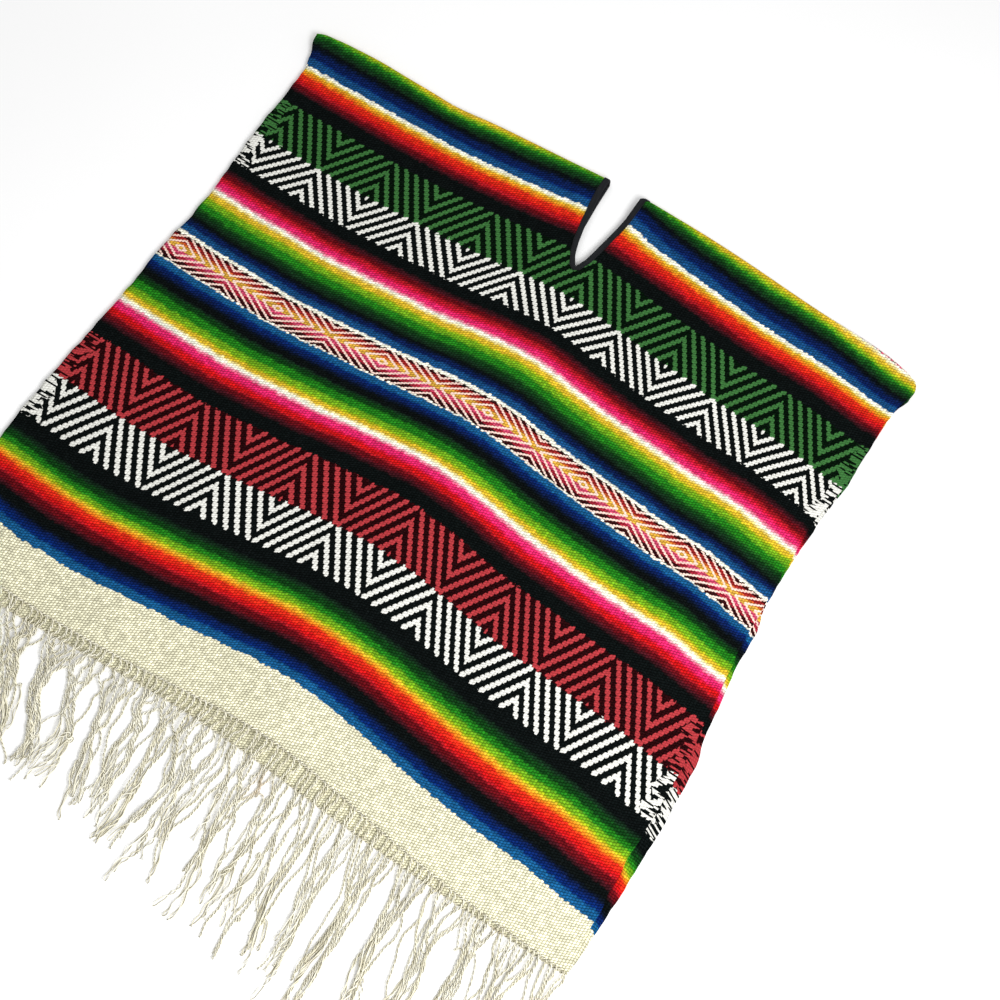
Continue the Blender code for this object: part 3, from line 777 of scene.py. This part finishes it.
class Yarns:
    """Collects twisted yarns into one mesh.

    Each point keeps its distance down the yarn, the yarn's tint, and how deep it lies between
    the two plies, from 0 to 1, which sets the painted shade between them.
    """

    def __init__(self):
        self.places, self.values, self.faces = [], [], []
        self.count = 0

    def add(self, line, chance, thick=1.0, loosen=0.0):
        """Two plies twisted round a line of points. loosen opens them towards the end."""
        line = np.asarray(line)
        steps = len(line)
        along = np.concatenate([[0.0], np.cumsum(np.linalg.norm(np.diff(line, axis=0), axis=1))])
        tangent = np.gradient(line, axis=0)
        tangent /= np.linalg.norm(tangent, axis=1)[:, None]
        side = np.cross(tangent, (0.0, 0.0, 1.0))
        side /= np.maximum(np.linalg.norm(side, axis=1)[:, None], 1e-6)
        up = np.cross(side, tangent)
        share = along / along[-1]
        open_up = ease((share - FRAY_FROM) / (1.0 - FRAY_FROM)) * loosen
        turn = math.tau * along / (TWIST * chance.uniform(*TWISTS)) * (1.0 - 0.5 * open_up)
        turn = turn + chance.uniform(0.0, math.tau)
        tint = chance.random()
        for ply in (0.0, math.pi):
            radius = PLY * thick * mix(1.0, TAPER, share)
            radius = radius * (1.0 + LUMP * np.sin(share * LUMPS + ply))
            away = (PLY * thick * PLY_APART + FRAY * open_up)[:, None]
            spin = (turn + ply)[:, None]
            centre = line + (side * np.cos(spin) + up * np.sin(spin)) * away
            centre[:, 2] = np.maximum(centre[:, 2], radius + FLOOR_CLEAR)
            corner = np.arange(PLY_SIDES)
            angle = math.tau * corner / PLY_SIDES + turn[:, None]
            out = side[:, None] * np.cos(angle)[..., None] + up[:, None] * np.sin(angle)[..., None]
            self.places.append((centre[:, None] + out * radius[:, None, None]).reshape(-1, 3))
            # How far each corner faces the other ply; the material paints shade there.
            inner = 0.5 - 0.5 * np.cos(angle - turn[:, None] - ply)
            self.values.append(np.stack([np.repeat(along, PLY_SIDES), np.full(inner.size, tint),
                                         inner.ravel()], -1))
            beside = np.roll(corner, -1)
            quads = np.stack([corner, beside, beside + PLY_SIDES, corner + PLY_SIDES], -1)
            starts = self.count + PLY_SIDES * np.arange(steps)
            self.faces += (starts[:-1, None, None] + quads).reshape(-1, 4).tolist()
            self.faces += [(starts[0] + corner[::-1]).tolist(), (starts[-1] + corner).tolist()]
            self.count += inner.size

    def make(self, name):
        """The mesh object of all the yarns."""
        return mesh_object(name, np.concatenate(self.places), self.faces,
                           np.concatenate(self.values), "yarn")


def lock_at(x):
    """The lock whose roots hold x."""
    return next((lock for lock in LOCKS if x <= lock.end), LOCKS[-1])


def wandering(chance, arc, wild):
    """Offsets across and along of a slack yarn, from its heading at each arc length."""
    heading = np.zeros(len(arc))
    for bend in BENDS:
        pace = math.tau / chance.uniform(bend.shortest, bend.longest)
        turn = bend.turn * wild * chance.uniform(*BEND_TURNS)
        heading += turn * np.sin(arc * pace + chance.uniform(0.0, math.tau))
    heading *= ease(arc / STRAIGHT)
    if chance.random() < LOOP_SHARE:
        start = chance.uniform(*LOOP_PLACES) * arc[-1]
        way = math.copysign(math.tau, chance.uniform(-1, 1))
        heading += way * ease((arc - start) / LOOP_LENGTH)
    return np.cumsum(np.sin(heading)) * STEP, np.cumsum(np.cos(heading)) * STEP


def yarn_line(root, fringe, chance):
    """Points down one yarn, from the hem to its tip."""
    lock = lock_at(root[0] - fringe.shift)
    middle = (lock.start + lock.end) / 2 + fringe.shift
    tip = lock.tip + fringe.shift + chance.gauss(0.0, TIP_SPREAD)
    length = lock.length * chance.uniform(*LENGTHS)
    gather = lock.gather
    if chance.random() < STRAY_SHARE:
        tip += chance.uniform(-STRAY_REACH, STRAY_REACH)
        length *= chance.uniform(*STRAY_LENGTHS)
        gather *= STRAY_GATHER
    arc = np.arange(0.0, length, STEP)
    share = arc / arc[-1]
    wild = mix(WILD_LEFT, WILD_RIGHT, ease((root[0] - WILD_FROM) / WILD_OVER))
    across, forward = wandering(chance, arc, wild)
    pull = gather * ease(share / GATHER_OVER)
    sway = LOCK_SWAY * np.sin(math.tau * (share * SWAY_TURNS + lock.tip * SWAY_SHIFT)) * share
    hook = mix(HOOK_LEFT, HOOK_RIGHT, ease((root[0] - HOOK_FROM) / HOOK_OVER))
    hook = hook * chance.uniform(*HOOKS) * np.sin(np.clip(arc / HOOK_LENGTH, 0.0, 1.0) * math.pi)
    x = root[0] + (tip - middle) * ease(share) + sway - (root[0] - middle) * pull
    x = x + across * (1.0 - GATHER_STILL * pull) + hook
    y = root[1] - forward
    rest = 2.0 * PLY + fringe.pile * chance.random() * (
        1.0 - PILE_WAVE + PILE_WAVE * np.sin(math.tau * share * chance.uniform(*PILE_TURNS)))
    z = mix(root[2], rest, ease(share / DROP_OVER))
    if fringe is FRONT_FRINGE:
        strip = -reach(BACK_BOWS, x, BACK_LENGTH)
        z = np.maximum(z, ease((y - strip + STRIP) / STRIP) * (CLOTH + STRIP_PLIES * PLY))
    return np.stack([x, y, z], -1)


def make_fringe(name, place, hem_along, edges, fringe):
    """Twined header along a hem, and the yarns that hang from it."""
    chance = random.Random(name)
    first, last = read(EDGES, edges[0], hem_along), read(EDGES, edges[1], hem_along)
    yarns = Yarns()
    x = np.arange(first + HEADER_INSET, last - HEADER_INSET, STEP)
    header = place(x, hem_along)
    header[:, 1] -= HEADER_OUT
    yarns.add(header, chance, thick=HEADER_THICK)
    pitch = (last - first) / fringe.yarns
    for index in range(fringe.yarns):
        x = first + (index + 0.5) * pitch + chance.uniform(-ROOT_SPREAD, ROOT_SPREAD) * pitch
        root = place(np.array([x]), hem_along - fringe.inside)[0]
        root[2] += CLOTH / 2 + PLY * ROOT_LIFT
        loosen = chance.uniform(*FRAYS) if chance.random() < FRAYED else 0.0
        yarns.add(yarn_line(root, fringe, chance), chance, chance.uniform(*THICKS), loosen)
    return yarns.make(name)


# -------- materials


def linear(tint):
    """A named tint as linear colour."""
    parts = [part / 255 for part in TINTS[tint]]
    return (*(part / 12.92 if part <= 0.04045 else ((part + 0.055) / 1.055) ** 2.4
              for part in parts), 1.0)


class Term:
    """A number or colour that a material's nodes work out. Sums with it add Math nodes."""

    def __init__(self, shading, socket):
        self.shading, self.socket = shading, socket

    def __abs__(self):
        return self.shading.math("ABSOLUTE", self)

    def __lt__(self, other):
        return self.shading.math("LESS_THAN", self, other)

    def __gt__(self, other):
        return self.shading.math("GREATER_THAN", self, other)


for sign, operation in (("add", "ADD"), ("sub", "SUBTRACT"), ("mul", "MULTIPLY"),
                        ("truediv", "DIVIDE"), ("pow", "POWER")):
    setattr(Term, f"__{sign}__", lambda term, other, operation=operation:
            term.shading.math(operation, term, other))
    setattr(Term, f"__r{sign}__", lambda term, other, operation=operation:
            term.shading.math(operation, other, term))


class Shading:
    """Builds the nodes of one material."""

    def __init__(self, name, roughness, specular, sheen):
        self.material = bpy.data.materials.new(name)
        self.material.use_nodes = True
        self.tree = self.material.node_tree
        self.shader = self.tree.nodes["Principled BSDF"]
        self.shader.inputs["Roughness"].default_value = roughness
        self.shader.inputs["Specular IOR Level"].default_value = specular
        self.shader.inputs["Sheen Weight"].default_value = sheen
        self.shader.inputs["Sheen Roughness"].default_value = 0.6

    def node(self, kind, *values, out=0, **settings):
        """One output of a new node whose first inputs take the values, apart from None."""
        made = self.tree.nodes.new("ShaderNode" + kind)
        for name, value in settings.items():
            setattr(made, name, value)
        for socket, value in zip(made.inputs, values):
            if value is not None:
                self.feed(socket, value)
        return Term(self, made.outputs[out])

    def feed(self, socket, value):
        if isinstance(value, Term):
            self.tree.links.new(value.socket, socket)
        else:
            socket.default_value = value

    def math(self, operation, *values):
        return self.node("Math", *values, operation=operation)

    def soft(self, value, low, high):
        """0 below low and 1 above high."""
        return self.node("MapRange", value, low, high, 0.0, 1.0, clamp=True)

    def blend(self, share, low, high, kind="MIX"):
        """A share of the way from one colour to the other, which are inputs 6 and 7."""
        return self.node("Mix", share, *[None] * 5, low, high, out=2,
                         data_type="RGBA", blend_type=kind)

    def place(self, x, y, z=0.0):
        return self.node("CombineXYZ", x, y, z)

    def noise(self, vector, scale=1.0, detail=2.0):
        return self.node("TexNoise", vector, None, scale, detail)

    def grain(self, x, y, grain):
        """Uneven patches over two distances."""
        return self.noise(self.place(x * grain.x, y * grain.y), 1.0, grain.detail)

    def chance(self, *place):
        """A number from 0 to 1 for each place, unlike its neighbours'."""
        return self.node("TexWhiteNoise", self.place(*place), noise_dimensions="3D")

    def parts(self, attribute):
        """The three numbers of a point attribute."""
        found = self.node("Attribute", attribute_name=attribute, out=1)
        split = self.node("SeparateXYZ", found).socket.node
        return [Term(self, socket) for socket in split.outputs]

    def object_place(self):
        """The point's own place in its object."""
        return self.node("TexCoord", out=3)

    def ramp(self, value, stripes, kind):
        """Colour of a value, from up to RAMP_STOPS stripes."""
        low, high = stripes[0].start, stripes[-1].start
        made = self.node("ValToRGB", (value - low) / (high - low))
        ramp = made.socket.node.color_ramp
        ramp.interpolation = kind
        while len(ramp.elements) < len(stripes):
            ramp.elements.new(1.0)
        for element, stripe in zip(ramp.elements, stripes):
            element.position = (stripe.start - low) / (high - low)
            element.color = linear(stripe.tint)
        return made

    def ombre(self, value, stripes):
        """Colour of a value, from any number of stripes that run into each other."""
        colour = self.ramp(value, stripes[:RAMP_STOPS], "LINEAR")
        for first in range(RAMP_STOPS - 1, len(stripes) - 1, RAMP_STOPS - 1):
            part = stripes[first:first + RAMP_STOPS]
            past = value > part[0].start
            colour = self.blend(past, colour, self.ramp(value, part, "LINEAR"))
        return colour

    def grey(self, colour):
        return self.node("RGBToBW", colour)

    def surface(self, colour, height, distance, strength=1.0):
        """Gives the material its colour and its relief."""
        bump = self.node("Bump", strength, distance)
        self.feed(bump.socket.node.inputs["Height"], height)
        self.feed(self.shader.inputs["Normal"], bump)
        self.feed(self.shader.inputs["Base Color"], colour)
        return self.material


def woven_material():
    """Weft-faced wool: stripes, point twill and diamonds, from each point's warp end and c."""
    s = Shading("woven_cloth", roughness=0.9, specular=0.02, sheen=0.0)
    ends, c, rim = s.parts("weave")
    along = abs(c) - MIDDLE

    # Each warp end is a column of beads, half a bead out of step with its neighbours.
    column = s.math("ROUND", ends)
    odd = s.math("FLOORED_MODULO", column, 2.0) * 0.5
    rib = abs(s.math("COSINE", ends * math.pi))
    uneven = s.grain(ends, c, BEND_GRAIN)
    slant = (ends - column) * SLANT + (uneven - 0.5) * BEAD_WANDER
    bead_place = (along + slant) / PICK + odd
    pick = s.math("FLOOR", bead_place)
    bead = abs(s.math("SINE", bead_place * math.pi))

    # A bead's tint is looked up partly at its middle, so the stripes' edges step and mingle.
    wander = s.grain(ends, c, WANDER_GRAIN) - 0.5
    middle = (pick - odd + 0.5) * PICK + wander * STRIPE_WANDER
    smooth = along + wander * STRIPE_WANDER + (uneven - 0.5) * STRIPE_RIPPLE
    stray = s.chance(column, pick, 7.0) - 0.5
    looked = middle * STEP_SHARE + smooth * (1.0 - STEP_SHARE) + stray * STRIPE_MINGLE
    ground = s.ombre(looked, STRIPES)

    # Twill bands. A float spans two ends of every four, one end further on in each row.
    fuzz = s.grain(ends, c, FUZZ_GRAIN)
    steady = along + wander * ROW_WANDER
    across = s.math("PINGPONG", ends, float(HALF_REPEAT))
    figure = 0.0
    tint = linear("twill_white")
    for band in TWILLS:
        diamond = band.tint == "twill_rose"
        row_place = abs(steady - band.line) / band.row
        row = s.math("FLOOR", row_place)
        inside = row_place - row
        offset = across - (row + (inside - 0.5) * FLOAT_SLOPE) - (1.0 - band.offset)
        away = abs(s.math("WRAP", offset, FLOAT_REPEAT / 2, -FLOAT_REPEAT / 2))
        swell = s.math("SINE", inside * math.pi) * FLOAT_SWELL
        limit = swell + band.slim + (fuzz - 0.5) * FLOAT_FUZZ
        shows = s.soft(limit - away, -FLOAT_SOFT, FLOAT_SOFT)
        here = (middle > band.start) * (middle < band.end)
        # Beside the selvedge the floats are muddled: short runs and solid patches.
        loose = s.chance(s.math("FLOOR", (column + pick) / MUDDLE_ENDS),
                         s.math("FLOOR", along / MUDDLE_ROW), band.line)
        deepest = 0.0 if diamond else MUDDLE_DEPTH
        muddle = rim < s.noise(s.place(c, band.row), MUDDLE_SCALE, 1.0) * deepest
        shows = shows * (1.0 - muddle) + (loose > 1.0 - MUDDLE_SHARE) * muddle
        if diamond:
            ground = s.blend(here, ground, s.ramp(steady - band.line, DIAMOND_GROUND, "CONSTANT"))
        tint = s.blend(here, tint, linear(band.tint))
        figure = figure + shows * here
    colour = s.blend(figure, ground, tint)

    # Uneven yarn: each pick has its own depth of dye, and each bead a little more, some beads
    # with a painted glint. Painted shade darkens the colour between the beads and a little between
    # the ends; a painted highlight lies on the fibres.
    light = LIGHT_BASE + s.grain(ends, pick, STREAK_GRAIN) * STREAK_LIGHT
    # Each bead's own tone; its brightest beads are painted glints.
    light = light + s.chance(column, pick) ** SPECK_POWER * SPECK_LIGHT
    light = light + s.grain(ends, c, MOTTLE_GRAIN) * MOTTLE_LIGHT
    light = light + figure * ((1.0 - light) * FIGURE_EVENNESS)
    plain = along > CREAM_FROM
    # Painted shade: the colour darkens in the gaps between beads and, less, between ends.
    dark = ((1.0 - bead) ** GAP_POWER * GAP_SHADE
            + (1.0 - rib) ** GAP_POWER * (RIB_SHADE + plain * CREAM_RIB_SHADE))
    dark = dark * (1.0 - figure * FLOAT_FILL)
    dark = s.math("MINIMUM", dark, DARKEST) * (1.0 - plain * CREAM_FILL)
    pale = s.grey(colour) * (1.0 - plain)
    dark = dark * (1.0 - pale * PALE_FILL)
    colour = s.blend(1.0, colour, s.place(light, light, light), "MULTIPLY")
    # The painted shade pulls the colour towards a dark groove tint.
    colour = s.blend(dark, colour, s.blend(1.0, colour, linear("painted_groove_shade"), "MULTIPLY"))
    # Painted highlight: where the fibres' noise is high, the colour pales towards a grey glint.
    painted_glint = s.math("MAXIMUM", fuzz - PAINTED_GLINT_FROM, 0.0) * PAINTED_GLINT_SHARE
    colour = s.blend(painted_glint, colour, linear("painted_glint"))
    rise = (1.0 - RIB_RELIEF + rib * RIB_RELIEF) * bead ** ROUNDNESS
    return s.surface(colour, rise + fuzz * FUZZ_RELIEF, RELIEF)


def tape_material():
    """Matt charcoal tape: a fine twill and a row of stitches near its inner rim."""
    s = Shading("neck_tape", roughness=0.85, specular=0.08, sheen=0.04)
    travelled, inward, _ = s.parts("binding")
    twill = s.math("SINE", (travelled + inward) * (math.tau / TAPE_TWILL))
    stitch_run = s.math("SINE", travelled * (math.tau / STITCH_LENGTH))
    near = abs(inward - STITCH_AT) < STITCH_HALF_WIDTH
    stitch = near * (stitch_run > STITCH_GAP)
    worn = s.grain(travelled, inward, WORN_GRAIN)
    cloth = s.blend(worn, linear("tape_black"), linear("tape_worn"))
    colour = s.blend(stitch, cloth, linear("tape_stitch"))
    rise = twill * TWILL_RELIEF + worn * WORN_RELIEF + stitch * STITCH_DEPTH
    return s.surface(colour, rise, FINE_RELIEF)


def yarn_material():
    """Undyed two-ply yarn: uneven cream, greyer in places, a few faint stains, painted shade
    between plies.
    """
    s = Shading("fringe_yarn", roughness=0.9, specular=0.1, sheen=0.08)
    along, tint, inner = s.parts("yarn")
    cream = s.blend(tint, linear("yarn_pale"), linear("yarn_cream"))
    dull = s.soft(s.grain(along, tint, DYE_GRAIN), *DULL)
    colour = s.blend(dull, cream, linear("yarn_dull"))
    # Painted shade on the sides of the plies that face each other.
    colour = s.blend(s.soft(inner, *PAINTED_PLY_SHADE) * PAINTED_PLY_SHADE_SHARE, colour, linear("yarn_painted_shade"))
    stain = s.soft(s.noise(s.object_place(), STAIN_SCALE), *STAIN)
    colour = s.blend(stain * STAIN_SHARE, colour, linear("yarn_stain"))
    return s.surface(colour, s.grain(along, tint, FIBRE_GRAIN), FINE_RELIEF, FIBRE_STRENGTH)


def floor_material():
    """Pale matt floor with the faintest unevenness."""
    s = Shading("floor", roughness=0.95, specular=0.1, sheen=0.0)
    uneven = s.noise(s.object_place(), 3.0)
    s.feed(s.shader.inputs["Base Color"], s.blend(uneven, linear("floor"), linear("floor_light")))
    return s.material


# -------- build

front_cloth = make_cloth("front_cloth", front_rows(), FRONT_SLIT, ("front_left", "front_right"),
                         COLUMNS, "front")
back_cloth = make_cloth("back_cloth", back_rows(), BACK_SLIT, ("back_left", "back_right"),
                        BACK_COLUMNS, "back")
binding = make_tape()
front_yarns = make_fringe("front_yarns", front_place, FRONT_LENGTH, ("front_left", "front_right"),
                          FRONT_FRINGE)
back_yarns = make_fringe("back_yarns", back_place, BACK_LENGTH, ("back_left", "back_right"),
                         BACK_FRINGE)

woven, taped, spun = woven_material(), tape_material(), yarn_material()
for piece, material, slot, nodes in (
        (front_cloth, woven, "woven_cloth", ("front_left", "front_right")),
        (back_cloth, woven, "woven_cloth", ("back_panel",)),
        (binding, taped, "neck_tape", ("neck_tape",)),
        (front_yarns, spun, "fringe_yarn", ("front_fringe",)),
        (back_yarns, spun, "fringe_yarn", ("back_fringe",))):
    piece.data.materials.clear()
    piece.data.materials.append(material)
    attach(piece, "root")
    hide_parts(*nodes)

# -------- floor, light, camera

FLOOR_SIZE = 6.0  # half its width
SKY_LIGHT = 0.66
SENSOR, FOCAL_LENGTH = 36.0, 66.6  # millimetres
floor = new_object("floor", bpy.data.meshes.new("floor"))
floor.data.from_pydata([(x * FLOOR_SIZE, y * FLOOR_SIZE, 0.0) for x, y in
                        ((-1, -1), (1, -1), (1, 1), (-1, 1))], [], [(0, 1, 2, 3)])
floor.data.materials.append(floor_material())

world = bpy.data.worlds.new("studio")
scene.world = world
world.use_nodes = True
world.node_tree.nodes["Background"].inputs["Color"].default_value = (1.0, 1.0, 1.0, 1.0)
world.node_tree.nodes["Background"].inputs["Strength"].default_value = SKY_LIGHT

Lamp = namedtuple("Lamp", "name place aim size power")
for lamp in (
        Lamp("key", (1.2, -0.5, 1.6), (0.1, 0.0, 0.0), 1.0, 34.0),
        Lamp("fill", (-1.5, 1.6, 2.4), (0.0, 0.1, 0.0), 1.8, 8.0)):
    data = bpy.data.lights.new(lamp.name, "AREA")
    data.size = lamp.size
    data.energy = lamp.power
    obj = new_object(lamp.name, data)
    obj.location = lamp.place
    aim = Vector(lamp.aim) - obj.location
    obj.rotation_euler = aim.to_track_quat("-Z", "Y").to_euler()

EYE = Vector((0.3748, -0.8130, 2.4892))
FORWARD = Vector((-0.1000, 0.3449, -0.9333)).normalized()
UP = Vector((-0.5123, 0.7863, 0.3454))
lens = bpy.data.cameras.new("camera")
lens.sensor_width = SENSOR
lens.lens = FOCAL_LENGTH
lens.clip_end = 50.0
camera = new_object("camera", lens)
right = FORWARD.cross(UP).normalized()
turned = Matrix((right, right.cross(FORWARD), -FORWARD)).transposed().to_4x4()
turned.translation = EYE
camera.matrix_world = turned
scene.camera = camera
scene.view_settings.view_transform = "Standard"
